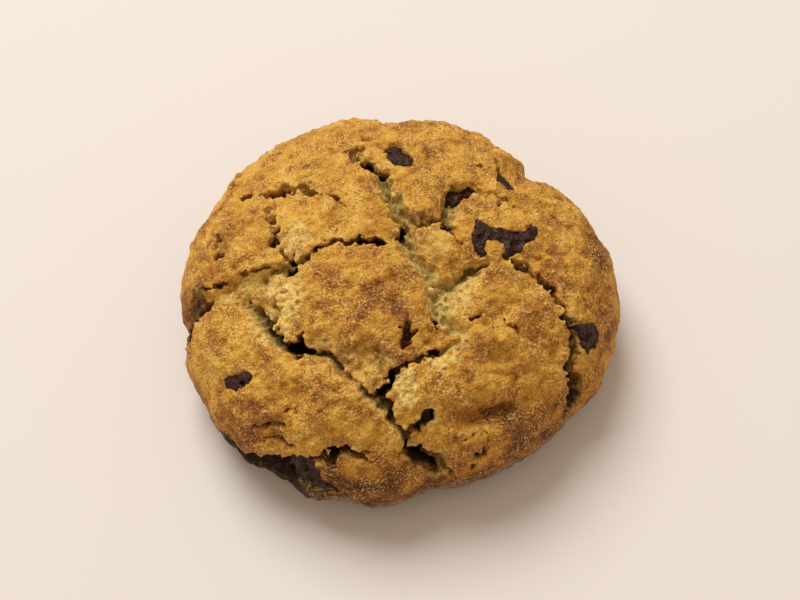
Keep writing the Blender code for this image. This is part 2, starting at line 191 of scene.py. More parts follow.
    ([(-15, 41, 0.6, 0.8), (-17, 45, 1.6, 2.4), (-21, 49, 1.4, 2.2), (-23, 54, 0.8, 1.2)],
     1.8, (0.2, 0), 0.3, 0.6),
    ([(31, 39, 0.7, 1), (35, 37, 1.4, 2.2), (40, 34, 1, 1.6)], 1.8, (0, 0.3), 0.3, 0.6),
    ([(-44, 27, 0.6, 0.8), (-42, 32, 1.3, 2), (-38, 37, 0.9, 1.4)], 1.8, (0, 0), 0.2, 0.7),
]

# Holes in and beside the cracks, deeper than they are, in the same terms
HOLES = [
    ([(-19.4, -1.6, 1.3, 3.6), (-18.8, -2.4, 1.5, 4)], 3, (0, 0.3), 0.2, 1),
    ([(-19.6, -5, 1.7, 5), (-18, -4.8, 1.6, 5)], 3, (0, 0.3), 0.2, 1),
    ([(-22.2, 4.4, 1, 3), (-22.4, 3.6, 0.9, 3)], 3, (0, 0.2), 0.2, 1),
    ([(-22.8, 2.2, 1.2, 3.6), (-22, 1.6, 1.2, 3.6)], 3, (0, 0.2), 0.2, 1),
    ([(-24, 7.6, 1.2, 2.6), (-23.2, 7, 0.9, 2.6)], 2.5, (0, 0.2), 0.1, 0.8),
    ([(-30.4, 15, 1, 2.4), (-29.8, 16.4, 1.1, 2.6)], 2.5, (0, 0.2), 0.1, 0.7),
    ([(-25.4, 14.5, 1.4, 3.4), (-24.8, 15.5, 1.4, 3.4)], 2.5, (0, 0.2), 0.1, 0.7),
    ([(-22.4, 15.1, 1.2, 3.2), (-20.4, 14.8, 1.3, 3.2)], 2.5, (0, 0.2), 0.1, 0.7),
    ([(-15, 12.8, 1.2, 2.8), (-14.6, 12.2, 1.1, 2.8)], 2.5, (0, 0.2), 0.1, 0.7),
    ([(-12.4, 12.2, 1.1, 2.2)] * 2, 2.5, (0, 0.2), 0.1, 0.6),
    ([(-5.3, 19.4, 1.8, 4.4), (-4.3, 18.6, 1.4, 4)], 3, (0, 0.3), 0.1, 1),
    ([(-3.3, 17.8, 1.8, 5), (-1.8, 16.6, 1.7, 5)], 3, (0, 0.3), 0.3, 0.9),
    ([(1.1, 4.6, 1.3, 7), (1.5, 2.6, 1.4, 7)], 3, (0, 0.2), 0.1, 1),
    ([(9.9, 6, 1.3, 6), (10.2, 4.9, 1.4, 6)], 3, (0, 0.2), 0.1, 1),
    ([(7.7, -15.4, 1.1, 4), (8.2, -17.4, 0.8, 3.4)], 3, (0, 0), 0.2, 1),
    ([(13.6, -5, 1.2, 3.4), (16, -4.4, 1.5, 3.8), (17.6, -3.6, 1.1, 3.2)], 2.2, (0, 0.2), 0.8, 0.3),
    ([(14.2, -15.4, 0.9, 1.6), (15.4, -15.2, 1.1, 1.8)], 2, (0, 0), 0, 0.8),
    ([(7.4, -21.8, 1.6, 4.2), (8.2, -21.4, 1.2, 4)], 2.5, (0, 0.2), 0.3, 0.9),
    ([(-24.6, -13.6, 1.1, 3.8), (-22.6, -16.2, 1.3, 4.6)], 2.4, (0, 0.2), 0.3, 0.8),
    ([(5.4, -36.4, 1.3, 4), (7.2, -34.4, 2.6, 4.4)], 2.5, (0, 0.2), 0.3, 0.9),
    ([(-2.2, -29, 1.5, 6.5), (-0.6, -27.6, 1.5, 6.5), (-0.2, -25.6, 1.3, 6)], 3, (0, 0.2), 0.1, 1),
    ([(-0.9, -31.4, 1.2, 4.6), (0.2, -33.6, 1.2, 4.6)], 2.5, (0, 0.2), 0.2, 0.8),
    ([(-11.8, -40.2, 1.6, 6), (-9.4, -39.2, 1.4, 6)], 3, (0, 0.4), 0, 1),
    ([(39, -27.8, 1.2, 4.4), (38.4, -25.4, 1.2, 5), (39.4, -23.9, 1, 4.4)], 2.6, (0, 0), 0, 0.9),
]

# Pits: u, v, half length along u and along v, turn in degrees, depth
PITS = [
    (18.2, -41.2, 1.2, 0.6, 10, 2.4), (18.8, -40.6, 0.5, 0.9, 20, 2), (-35.2, 6.8, 0.8, 0.5, 60, 1.3),
    (-36.4, 5.4, 0.5, 0.4, 30, 1), (-35, 2.4, 0.8, 0.7, 20, 1.6), (3, -18.2, 0.9, 1.9, -14, 3.4),
    (2.2, -20.2, 0.7, 0.9, -12, 2), (5.4, -5.4, 0.7, 0.5, 20, 1.4), (7.6, -8, 0.8, 0.5, 0, 1.4),
    (-24, 26.5, 1.2, 0.6, 20, 0.6), (9.5, 28.5, 1.2, 0.6, 10, 0.6), (28.4, -1.4, 1.3, 1, 0, 0.8),
    (-21.6, -11.6, 0.4, 1.3, 10, 1.3), (-22.2, -14, 0.5, 1, -20, 1.3), (-20, -9, 0.5, 0.4, 0, 1),
    (-5, 27, 0.7, 0.5, 0, 0.7),
]

# Broken patches, where the crust is gone or crumbled: u, v, half length along u and along v, turn in
# degrees, depth, roughness from 0 to 1, and paleness from 0 to 1
PATCHES = [
    (-21.5, -12.5, 4.6, 6.6, -28, 0.8, 1, 0.85), (-4.5, -24.2, 6.4, 3.4, -12, 1.6, 1, 0.45),
    (6.4, 0, 4.2, 5.6, 0, 0.5, 0.8, 0.25), (-18, 1.5, 3.2, 3.4, 0, 0.8, 0.6, 0.8),
    (2.6, -28.6, 1.9, 4.2, 5, 0.2, 0.9, 1), (9, -23.6, 3.6, 1.1, 15, 0.1, 0.8, 0.8),
    (9.5, -44.8, 3, 2, 40, 0.8, 0.5, 0.6), (-31, -6.8, 8.5, 2.6, 8, 1.9, 1, 0.75),
    (-46.5, -9.8, 8.5, 2.6, 38, 0.7, 1, 0), (11.5, -9.5, 3.5, 5, -30, 0.3, 0.7, 0.6),
    (-12, -20, 3, 1.6, -30, 0.5, 0.8, 0.4), (-17.5, -40.5, 3, 2, 0, 0.3, 0.6, 0.3),
]

# Browning of the crust, with painted shade in troughs and on the front's lower side: u, v, half length along
# u and along v, amount
BROWNING_AND_SHADE = [
    (-3, -14, 9, 7, 0.3), (-34, 3, 5, 7, 0.3), (-14, 8, 9, 6, -0.35), (-16, 22, 14, 6, -0.2),
    (9, 15, 5, 3, 0.25), (24, -13, 7, 7, 0.2), (6, -22, 8, 4, 0.15), (-28, -19, 8, 8, -0.35),
    (-14, -32, 6, 5, 0.1), (-31, -34, 9, 4, 0.45), (-46, -7, 5, 6, 0.75), (16, -27, 6, 3, -0.15),
    (20, -32.8, 8, 1.8, 0.75), (25.5, -31.5, 3, 1.5, 0.5), (25, -36, 8, 3, 0.25), (13, -3, 5, 5, 0.15),
    (33, -2, 5, 7, 0.15), (-6, -47, 12, 5, 0.6), (-16, -46, 6, 5, 0.5), (-20, -6, 4, 5, -0.4),
    (41, 5, 4, 14, 0.35), (36, -33, 6, 5, 0.35), (22, -30, 10, 4, 0.2), (5, -21, 5, 3, -0.15),
    (42, -8, 4, 8, 0.3), (-28, -28, 7, 6, 0.2),
]

# Places painted near black: painted shadow in the gap under the overhanging hem, painted shade down cracks
# and pits,
# and spots burnt or stained dark: u, v, half length along u and along v, turn in degrees, amount from 0 to 1
SHADE_AND_BURNT = [
    (-37.5, -40.5, 7.5, 3, -43, 1), (-27, -47.4, 9, 4.2, -27, 1), (-46.5, -9.8, 8.5, 2.2, 38, 0.85),
    (-39.5, -4.4, 2.4, 1.2, 10, 0.7), (35.1, -19, 4.8, 1, -82, 1), (39.6, -26.2, 4, 2, -66, 0.9),
    (35, -13.2, 1.6, 1, -60, 0.55), (-7.8, 23.9, 2, 1.3, 0, 0.65), (-7.6, 21.6, 0.9, 1.9, 0, 0.6),
    (-24, 26.2, 1.6, 0.7, 15, 0.35), (-11, 29.6, 0.6, 1.5, -10, 0.2), (-35.2, 6.8, 0.9, 0.6, 60, 0.5),
    (-35, 2.4, 0.9, 0.8, 20, 0.6), (18.4, 22, 1, 0.6, 0, 0.3),
]

# Chocolate: the turn of its length from +u in degrees, its thickness, how far its top stands out of the
# crust, how round its edges are, and its outline in mm along it and across it from its middle
CHOCOLATE = {
    "chunk_east": (0, 4, 0.6, 0.8, [
        (-4.8, 3.7), (-1.9, 2), (1.8, 1.9), (4.3, 2.2), (5.2, 4), (6, 4.1), (6.9, 2), (6.3, 0.3),
        (4.6, -1.4), (3.1, -3.3), (0.9, -4.9), (-1.1, -4.4), (0.3, -3.2), (-0.3, -1.8), (-2.9, -1.3),
        (-3.6, -2.6), (-2.8, -4.4), (-3.8, -4.9), (-5.5, -2.4), (-5.5, 0.4)]),
    "chunk_front": (0, 4.6, -0.3, 0.7, [
        (-5, 0.6), (-4, 2.6), (-2, 2.8), (-1.2, 4.2), (0.6, 4), (2.6, 2.8), (3, -0.6), (3.6, -3),
        (0.4, -3.6), (-3, -2.4)]),
    "chip_back": (0, 3, 0.1, 0.5, [
        (-3, 1.6), (-1.6, 3.9), (0.6, 2.8), (3, -1.6), (1.8, -4), (-1.2, -3.6), (-2.7, -0.8)]),
    "chip_east": (0, 3.2, 0.5, 0.5, [
        (-4.3, 0.5), (-2.2, 1.2), (-0.4, 2.7), (1, 2.2), (2.3, 0.2), (1.5, -2), (-0.3, -3.9), (-1.8, -2.6),
        (-2.7, -0.8), (-3.3, -0.1)]),
    "chip_west": (-14, 2.8, 0.2, 0.4, [
        (-3.4, -0.1), (-1.8, 1.1), (0.4, 1.2), (1.7, 2.1), (3.7, 1.5), (3.4, 0.2), (1.9, -1.1), (-0.1, -2),
        (-2.4, -1.7)]),
    "chip_north": (0, 2.8, -1.2, 0.4, [
        (3.4, 3.2), (2, 3.6), (0.4, 2.2), (-2, 1.8), (-2, -0.8), (-0.2, -1.8), (1, 0.2), (3.2, 1.6)]),
    "chip_north_east": (0, 2.6, -0.1, 0.3, [
        (-1.8, 4), (-0.3, 3.4), (1.2, 1), (1.8, -1.8), (-0.4, -2.6), (-2.6, -1), (-2, 1.2)]),
    "chip_south": (0, 2, -0.9, 0.5, [
        (-1.4, 0), (-0.2, 1.2), (1.2, 1.2), (1.6, -0.4), (0.4, -1.4), (-0.8, -1)]),
    "chip_hem": (0, 2.4, -0.8, 0.3, [
        (-2.2, 0.6), (-0.6, 1.2), (1.8, 0.8), (2.2, -0.6), (0, -1.2), (-1.6, -0.8)]),
    "sliver_east": (-60, 2.6, -2.4, 0.3, [
        (-2.6, 0.4), (-0.6, 1), (2.2, 0.7), (2.6, -0.5), (0.2, -1), (-2, -0.8)]),
    "chip_rear_left": (40, 3.2, 0, 0.5, [
        (-3, 0.4), (-1.8, 2), (0.6, 2.3), (2.9, 0.9), (2.6, -1.2), (0.4, -2.3), (-2.2, -1.7)]),
    "chip_rear_right": (-15, 3.4, 0.1, 0.4, [
        (-3.6, 1), (-1.6, 2.4), (1.4, 2.2), (3.6, 0.6), (2.8, -1.6), (0.2, -2.2), (-2.8, -1.8)]),
}

VOXEL = 0.28  # mm between the dough's grid points
CHOCOLATE_VOXEL = 0.16
MOST_TRIANGLES = 192_000  # of the dough
MAP_STEP = 0.15
MAP_HALF = 72.0

# ------------------------------
# Random fields

NOISE_CELLS = 96  # along each side of a block of random values, which repeats
WAVE_CELLS = 8  # from one bump to the next in a block
WAVE_SPREAD = 0.45  # how much a smooth block's waves differ in length
GRAIN_GAP = -0.2  # a crumb block's value in the gaps between its grains


def smooth_block(seed):
    """A block of smooth random values, with a mean of 0 and a spread of 1."""
    white = np.random.default_rng(seed).standard_normal((NOISE_CELLS,) * 3)
    full, half = np.fft.fftfreq(NOISE_CELLS), np.fft.rfftfreq(NOISE_CELLS)
    squares = full[:, None, None] ** 2 + full[None, :, None] ** 2 + half[None, None, :] ** 2
    frequency = np.sqrt(squares) * WAVE_CELLS
    passed = np.exp(-(((frequency - 1) / WAVE_SPREAD) ** 2))
    block = np.fft.irfftn(np.fft.rfftn(white) * passed, white.shape)
    return (block / block.std()).astype(np.float32)


def crumb_block(seed):
    """A block of round grains, about one for each WAVE_CELLS: 1 at a grain's middle, falling to about 0."""
    count = NOISE_CELLS // WAVE_CELLS
    jitter = np.random.default_rng(seed).random((count, count, count, 3), dtype=np.float32)
    axis = np.arange(NOISE_CELLS, dtype=np.float32) / WAVE_CELLS
    cell = np.floor(axis).astype(int)
    nearest = np.full((NOISE_CELLS,) * 3, np.inf, np.float32)
    for offset in np.ndindex(3, 3, 3):
        i, j, k = (cell + step - 1 for step in offset)
        middle = jitter[np.ix_(i % count, j % count, k % count)]
        away = (
            (i[:, None, None] + middle[..., 0] - axis[:, None, None]) ** 2
            + (j[None, :, None] + middle[..., 1] - axis[None, :, None]) ** 2
            + (k[None, None, :] + middle[..., 2] - axis[None, None, :]) ** 2
        )
        np.minimum(nearest, away, out=nearest)
    return np.clip(1 - nearest, GRAIN_GAP, 1)


SMOOTH = smooth_block(1)
CRUMBS = crumb_block(2)


def read_block(block, points, size, seed):
    """The block's values at points in mm, when it is scaled so that its bumps are size mm apart."""
    random = np.random.default_rng(seed)
    turn, _ = np.linalg.qr(random.standard_normal((3, 3)))
    place = points @ (turn[: points.shape[1]] * WAVE_CELLS / size).astype(np.float32)
    place += (random.random(3) * NOISE_CELLS).astype(np.float32)
    low = np.floor(place).astype(np.int32)
    part = place - low
    low %= NOISE_CELLS
    high = (low + 1) % NOISE_CELLS
    low_or_high = ((low, 1 - part), (high, part))
    values = np.zeros(len(points), np.float32)
    flat = block.reshape(-1)
    for i, j, k in np.ndindex(2, 2, 2):
        index = (low_or_high[i][0][:, 0] * NOISE_CELLS + low_or_high[j][0][:, 1]) * NOISE_CELLS
        index += low_or_high[k][0][:, 2]
        weight = low_or_high[i][1][:, 0] * low_or_high[j][1][:, 1] * low_or_high[k][1][:, 2]
        values += flat[index] * weight
    return values


def noise(points, size, seed):
    """Smooth bumps and hollows at points, mostly from -2 to 2."""
    return read_block(SMOOTH, points, size, seed)


def crumbs(points, size, seed):
    """Round grains at points, from GRAIN_GAP to 1."""
    return read_block(CRUMBS, points, size, seed)


def ramp(values, start, end):
    """0 up to start, 1 from end, and smooth between them."""
    t = np.clip((values - start) / (end - start), 0, 1)
    return t * t * (3 - 2 * t)


def smooth_max(a, b, blend):
    """The larger of two fields, rounded off where they are within blend of each other."""
    mix = np.clip(0.5 + (a - b) / (2 * blend), 0, 1)
    return b + (a - b) * mix + blend * mix * (1 - mix)


# ------------------------------
# The dome and its map


def dome_section(points_per_curve=220):
    """The dome's section, from its top to well under the base: radius, height and distance along it."""
    angle = np.linspace(0, math.pi / 2, points_per_curve)
    crown, skirt = 2 / CROWN_POWER, 2 / SKIRT_POWER
    radius = RADIUS * np.append(np.sin(angle) ** crown, np.cos(angle[1:]) ** skirt)
    height = np.append(
        GIRTH_HEIGHT + (HEIGHT - GIRTH_HEIGHT) * np.cos(angle) ** crown,
        GIRTH_HEIGHT - SKIRT_HEIGHT * np.sin(angle[1:]) ** skirt,
    )
    along = np.append(0, np.cumsum(np.hypot(np.diff(radius), np.diff(height))))
    return radius, height, along


SECTION_RADIUS, SECTION_HEIGHT, SECTION_ALONG = dome_section()


def outline(direction):
    """Height of the outline's waves in directions given in radians."""
    middle, half_width, height = np.array(OUTLINE_WAVES).T
    apart = (np.degrees(direction)[..., None] - middle + 180) % 360 - 180
    return (height * np.exp(-((apart / half_width) ** 2))).sum(-1)


TABLE_STEP = 0.2  # mm between the section table's points
TABLE_RADIUS = 52
TABLE_LOW, TABLE_HIGH = -4.0, 40


def section_table():
    """For places by radius and height in the dome's section: distance along the crust, and out of it."""
    radius = np.arange(0, TABLE_RADIUS, TABLE_STEP)[:, None, None]
    height = np.arange(TABLE_LOW, TABLE_HIGH, TABLE_STEP)[None, :, None]
    away = np.hypot(radius - SECTION_RADIUS, height - SECTION_HEIGHT)
    nearest = away.argmin(-1)
    radius, height = radius[..., 0], height[..., 0]
    above = height > GIRTH_HEIGHT
    power = np.where(above, CROWN_POWER, SKIRT_POWER)
    tall = np.where(above, HEIGHT - GIRTH_HEIGHT, SKIRT_HEIGHT)
    inside = (radius / RADIUS) ** power + (abs(height - GIRTH_HEIGHT) / tall) ** power < 1
    return np.stack([SECTION_ALONG[nearest], away.min(-1) * np.where(inside, -1, 1)], -1).astype(np.float32)


SECTION_TABLE = section_table()
DEGREES = np.arange(-180, 181)
OUTLINE_TABLE = outline(np.radians(DEGREES))


def read_table(table, rows, columns, first=0, end=None):
    """The table's values between its rows and columns, for its layers from first to end."""
    low_row = np.clip(rows.astype(np.int32), 0, table.shape[0] - 2)
    low_column = np.clip(columns.astype(np.int32), 0, table.shape[1] - 2)
    part_row = np.clip(rows - low_row, 0, 1)[:, None].astype(np.float32)
    part_column = np.clip(columns - low_column, 0, 1)[:, None].astype(np.float32)
    flat = table.reshape(-1, table.shape[-1])[:, first:end]
    index = low_row * table.shape[1] + low_column
    low = flat[index] * (1 - part_column) + flat[index + 1] * part_column
    index += table.shape[1]
    high = flat[index] * (1 - part_column) + flat[index + 1] * part_column
    return low * (1 - part_row) + high * part_row


def to_map(points):
    """u, v and the distance out of the plain dome, for points in the frame, in mm."""
    x, y, z = (points + CENTRE.astype(np.float32)).T
    direction = np.arctan2(y, x)
    wave = np.interp(np.degrees(direction), DEGREES, OUTLINE_TABLE).astype(np.float32)
    away = np.hypot(x, y)
    share = away / RADIUS
    for _ in range(3):  # by then it hardly changes
        share = away / (RADIUS + wave * share**2)
    along, out = read_table(SECTION_TABLE, share * RADIUS / TABLE_STEP, (z - TABLE_LOW) / TABLE_STEP).T
    return along * np.cos(direction), along * np.sin(direction), out


def from_map(u, v):
    """The point of the plain dome at a place on the map, in the frame."""
    along, direction = math.hypot(u, v), math.atan2(v, u)
    radius = np.interp(along, SECTION_ALONG, SECTION_RADIUS)
    radius += outline(np.array(direction)) * (radius / RADIUS) ** 3
    height = np.interp(along, SECTION_ALONG, SECTION_HEIGHT)
    return np.array((radius * math.cos(direction), radius * math.sin(direction), height)) - CENTRE


def crust_axes(u, v, step=0.5):
    """Unit vectors at a place on the map: along +u, along +v, and out of the crust."""
    along_u = from_map(u + step, v) - from_map(u - step, v)
    along_u /= np.linalg.norm(along_u)
    outward = np.cross(along_u, from_map(u, v + step) - from_map(u, v - step))
    outward /= np.linalg.norm(outward)
    return along_u, np.cross(outward, along_u), outward


# ------------------------------
# Relief of the crust, on its map

# The map's layers: the nearest crack's, then the nearest hole's in the same order, then the rest. EDGE is how
# far out of it a place is, and HALF is half its width.
EDGE, HALF, DEPTH, STEEP, LEAN_U, LEAN_V, INSIDE, SHADE = range(8)
OF_CRACK, OF_HOLE = 0, SHADE + 1
# The brown layer holds browning together with painted shade in pits, troughs and on the front's foot; the
# black layer holds the places painted near black
RELIEF, ROUGH, PALE, BROWN_AND_SHADE, BLACK = range(2 * OF_HOLE, 2 * OF_HOLE + 5)
FAR = 9.0  # the largest distance to a crack that matters

# How cracks and spots wander: from one bend to the next, how far they go, and their seeds for u and v
WANDER = [(4.0, 0.32, 11, 13), (1.6, 0.24, 12, 14), (0.8, 0.09, 19, 20)]
# Bumps all over the crust: from one to the next, height and seed
BUMPS = [(9.0, 0.28, 15), (4.2, 0.22, 16), (2.2, 0.13, 17)]
# The crust sinks towards a crack's edge and rises a little further out: by how much for each mm of the
# crack's size, which counts up to LARGEST, and over what distance
LARGEST = 1.5
SINK, SINK_WIDTH = 0.65, 2.2
RISE, RISE_AT, RISE_WIDTH = 0.12, 1.6, 0.9


def from_middle(u, v, at_u, at_v, half_u, half_v, turn=0):
    """How far places are from an oval's middle, as a share of the way to its edge."""
    c, s = math.cos(math.radians(turn)), math.sin(math.radians(turn))
    along, across = (u - at_u) * c + (v - at_v) * s, (v - at_v) * c - (u - at_u) * s
    return np.hypot(along / half_u, across / half_v)


def smooth_route(points, step=0.5):
    """A curve through the points, read about every step mm (Catmull-Rom)."""
    points = np.array(points, float)
    ends = np.vstack([2 * points[0] - points[1], points, 2 * points[-1] - points[-2]])
    route = []
    for before, start, end, after in zip(ends, ends[1:], ends[2:], ends[3:]):
        t = np.arange(max(2, math.dist(start[:2], end[:2]) // step))[:, None]
        t = t / len(t)
        cubic = 3 * start - before - 3 * end + after
        square = 2 * before - 5 * start + 4 * end - after
        route.append(start + (end - before) * t / 2 + square * t**2 / 2 + cubic * t**3 / 2)
    return np.vstack([*route, points[-1:]])


def mark_openings(layers, shapes, u, v):
    """Sets the layers of the nearest crack or hole, at places u, v."""
    layers[..., EDGE] = FAR
    layers[..., HALF : STEEP + 1] = 1
    for route, steep, lean, pale, dark in shapes:
        route = smooth_route(route)
        low = ((route[:, :2].min(0) - FAR + MAP_HALF) / MAP_STEP).astype(int).clip(0)
        high = ((route[:, :2].max(0) + FAR + MAP_HALF) / MAP_STEP).astype(int)
        window = np.s_[low[0] : high[0], low[1] : high[1]]
        found = layers[window]
        for at_u, at_v, width, depth in route:
            edge = np.hypot(u[window] - at_u, v[window] - at_v) - width / 2
            closer = edge < found[..., EDGE]
            found[closer, EDGE] = edge[closer]
            found[closer, HALF:] = (width / 2, depth, steep, *lean, pale, dark)


def crust_map():
    """The map's layers, as EDGE to BLACK number them."""
    axis = np.arange(-MAP_HALF, MAP_HALF, MAP_STEP, dtype=np.float32)
    v, u = np.meshgrid(axis, axis)
    flat = np.stack([u.ravel(), v.ravel()], -1)

    def wavy(size, seed):
        return noise(flat, size, seed).reshape(u.shape)

    wander_u = sum((reach * wavy(size, seed) for size, reach, seed, _ in WANDER), u)
    wander_v = sum((reach * wavy(size, seed) for size, reach, _, seed in WANDER), v)
    layers = np.zeros((*u.shape, BLACK + 1), np.float32)
    mark_openings(layers[..., OF_CRACK:OF_HOLE], CRACKS, wander_u, wander_v)
    mark_openings(layers[..., OF_HOLE:RELIEF], HOLES, wander_u, wander_v)
    for *oval, height in SWELLS:
        layers[..., RELIEF] += height * np.exp(-(from_middle(u, v, *oval) ** 2))
    for *oval, depth in PITS:
        away = from_middle(wander_u, wander_v, *oval)
        layers[..., RELIEF] -= depth * ramp(away, 1.25, 0.6)
        layers[..., PALE] -= 0.6 * ramp(away, 1.3, 0.8)
        # Pits are darker the deeper they are: painted shade
        layers[..., BROWN_AND_SHADE] += 0.5 * depth * ramp(away, 1.3, 0.7)
    for *oval, depth, rough, pale in PATCHES:
        inside = ramp(from_middle(wander_u, wander_v, *oval), 1.15, 0.85)
        layers[..., RELIEF] -= depth * inside
        layers[..., ROUGH] = np.maximum(layers[..., ROUGH], rough * inside)
        layers[..., PALE] = np.maximum(layers[..., PALE], pale * inside)
    for *oval, amount in BROWNING_AND_SHADE:
        layers[..., BROWN_AND_SHADE] += amount * np.exp(-(from_middle(u, v, *oval) ** 2))
    # Painted shadow, painted shade and burnt spots, all painted near black
    for *oval, amount in SHADE_AND_BURNT:
        darkened = amount * ramp(from_middle(wander_u, wander_v, *oval), 1.3, 0.7)
        layers[..., BLACK] = np.maximum(layers[..., BLACK], darkened)
    edge = layers[..., EDGE]
    size = np.minimum(layers[..., HALF] * 1.2, LARGEST)
    layers[..., RELIEF] += -SINK * size * np.exp(-((edge.clip(0) / SINK_WIDTH) ** 2))
    layers[..., RELIEF] += RISE * size * np.exp(-(((edge - RISE_AT) / RISE_WIDTH) ** 2))
    calm = 1 - 0.6 * ramp(np.hypot(u, v), 36, 46)  # the sides are smoother than the top
    layers[..., RELIEF] += calm * sum(height * wavy(length, seed) for length, height, seed in BUMPS)
    layers[..., ROUGH] = np.maximum(layers[..., ROUGH], 0.75 * ramp(edge, 1.3, 0.1) * size.clip(0, 1))
    return layers


CRUST = crust_map()


def read_map(u, v, first=0, end=None):
    """The map's layers from first to end, at places u, v."""
    return read_table(CRUST, (u + MAP_HALF) / MAP_STEP, (v + MAP_HALF) / MAP_STEP, first, end)


# ------------------------------
# Fields of the dough and the chocolate

SKIN_GRAIN = 0.85  # mm from one to the next of the crust's grains, and of the fine grains of broken crumb
SKIN_SEED = 24
DEEPEST_LEAN = 6  # a crack leans no further below this depth
CRACK_BLEND = 0.35  # how round the dough's edges are along a crack
SOCKET_BLEND = 0.15  # and along a socket
SOCKET_REACH = 8.5  # more than any piece reaches from its middle
SOCKET_MARGIN = 0.05  # mm that a socket's opening is larger than the outline


def crumb_grains(points):
    """How far the broken crumb stands out at points: grains of two sizes with gaps between them."""
    return 0.5 * (crumbs(points, 1.6, 21) - 0.55) + 0.38 * (crumbs(points, SKIN_GRAIN, 22) - 0.55)


def dough_parts(points):
    """For points in mm: the map's layers there with those of the nearest crack or hole first, depth under the
    crust, and the crust's and the openings' fields."""
    u, v, out = to_map(points)
    layers = read_map(u, v)
    under = layers[:, RELIEF] - out
    rough = layers[:, ROUGH]
    grains = crumb_grains(points)
    calm = 1 - 0.65 * ramp(np.hypot(u, v), 38, 48)
    skin_grains = crumbs(points, SKIN_GRAIN, SKIN_SEED) - 0.5
    skin = -under - calm * (0.10 * noise(points, 1.7, 23) + 0.23 * skin_grains)
    skin -= rough * (0.95 * grains + 0.1) + 0.5 * rough * ramp(noise(points, 1.3, 26), -0.9, -1.7)
    walls = np.full(len(points), FAR, np.float32)
    lean_to = under.clip(0, DEEPEST_LEAN)
    for first in (OF_CRACK, OF_HOLE):
        lean_u, lean_v = layers[:, first + LEAN_U] * lean_to, layers[:, first + LEAN_V] * lean_to
        leaned = read_map(u - lean_u, v - lean_v, first, first + STEEP + 1)
        share = (under / leaned[:, DEPTH]).clip(0, 1.3)
        found = leaned[:, EDGE] + leaned[:, HALF] * share ** leaned[:, STEEP]
        nearer = found < walls
        walls[nearer] = found[nearer]
        layers[nearer, : STEEP + 1] = leaned[nearer]
        layers[nearer, INSIDE : SHADE + 1] = layers[nearer, first + INSIDE : first + SHADE + 1]
    ragged = 0.45 + 0.75 * ramp(noise(points, 4.5, 27), -1.0, 1.0)
    walls += ramp(under, 0.0, 0.8) * (-ragged * grains + 0.12 * noise(points, 2.4, 25))
    return layers, under, skin, walls


def chocolate_frame(name):
    """The middle of a piece's top, at the frame's place for it, and its axes: along it, across it and out."""
    turn, _, stands_out, _, _ = CHOCOLATE[name]
    middle = sum(np.array(corner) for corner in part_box(name)) / 2 / MM
    u, v, _ = (float(value[0]) for value in to_map(middle[None].astype(np.float32)))
    along_u, along_v, outward = crust_axes(u, v)
    turn = math.radians(turn)
    along = along_u * math.cos(turn) + along_v * math.sin(turn)
    relief = float(read_map(np.array([u]), np.array([v]))[0, RELIEF])
    top = from_map(u, v) + (relief + stands_out) * outward
    return top, np.array((along, np.cross(outward, along), outward))


def outline_distance(places, corners):
    """Distance out of a closed outline, at places in its plane."""
    corners = np.array(corners, np.float32)
    away = np.full(len(places), FAR, np.float32)
    inside = np.zeros(len(places), bool)
    for start, end in zip(corners, np.roll(corners, -1, 0)):
        side, offset = end - start, places - start
        along = (offset @ side / (side @ side)).clip(0, 1)[:, None]
        away = np.minimum(away, np.linalg.norm(offset - along * side, axis=1))
        crosses = (start[1] > places[:, 1]) != (end[1] > places[:, 1])
        inside ^= crosses & (offset[:, 0] < offset[:, 1] * side[0] / (side[1] or 1))
    return np.where(inside, -away, away)


def cut_sockets(points, field):
    """Opens the dough over each piece of chocolate, with a ragged edge that just overlaps it."""
    for name, (_, thickness, _, _, corners) in CHOCOLATE.items():
        middle, axes = chocolate_frame(name)
        near = np.flatnonzero((abs(points - middle.astype(np.float32)) < SOCKET_REACH).all(1))
        places = ((points[near] - middle) @ axes.T).astype(np.float32)
        opening = outline_distance(places[:, :2], corners) - SOCKET_MARGIN
        opening += 0.7 * (crumbs(points[near], 1.5, 41) - 0.4) + 0.4 * (crumbs(points[near], 0.8, 42) - 0.4)
        opening = np.maximum(opening, -places[:, 2] - thickness / 2)
        field[near] = smooth_max(field[near], -opening, SOCKET_BLEND)


def base_height(points):
    """Height of the underside: flat where it lay on the tray, with shallow hollows."""
    place = points[:, :2]
    return 0.5 * ramp(noise(place, 4.0, 61), 0.3, 1.8) + 0.25 * ramp(noise(place, 1.5, 62), 0.6, 1.8)


def dough_field(points):
    """Distance out of the dough, roughly, in mm."""
    _, _, skin, walls = dough_parts(points)
    field = smooth_max(skin, -walls, CRACK_BLEND)
    cut_sockets(points, field)
    return np.maximum(field, base_height(points) - points[:, 2])


# ------------------------------
# Meshes from fields

MARGIN = 3.0  # mm of grid round the dough, and the most that its field says
# The dough's field is worked out from TOP_DEPTH under the crust to CRUST_DEPTH, or near a crack or hole to
# UNDER_FLOOR more than its depth, but not below DEEPEST
TOP_DEPTH, CRUST_DEPTH, UNDER_FLOOR, DEEPEST = -1.6, 1.8, 1.5, 8.5
NEAR_OPENING = 3.5
CHOCOLATE_MARGIN = 0.8
OUTLINE_MARGIN = 0.1  # mm that a piece is larger than its outline half way down
BELLY = 0.25  # four times what its sides come in by at the top and the bottom


def grid_points(low, high, voxel):
    """The points of a grid from corner to corner, and how many there are along each side."""
    axes = [np.arange(a, b + voxel, voxel, dtype=np.float32) for a, b in zip(low, high)]
    x, y, z = np.meshgrid(*axes, indexing="ij")
    return np.stack([x.ravel(), y.ravel(), z.ravel()], -1), x.shape


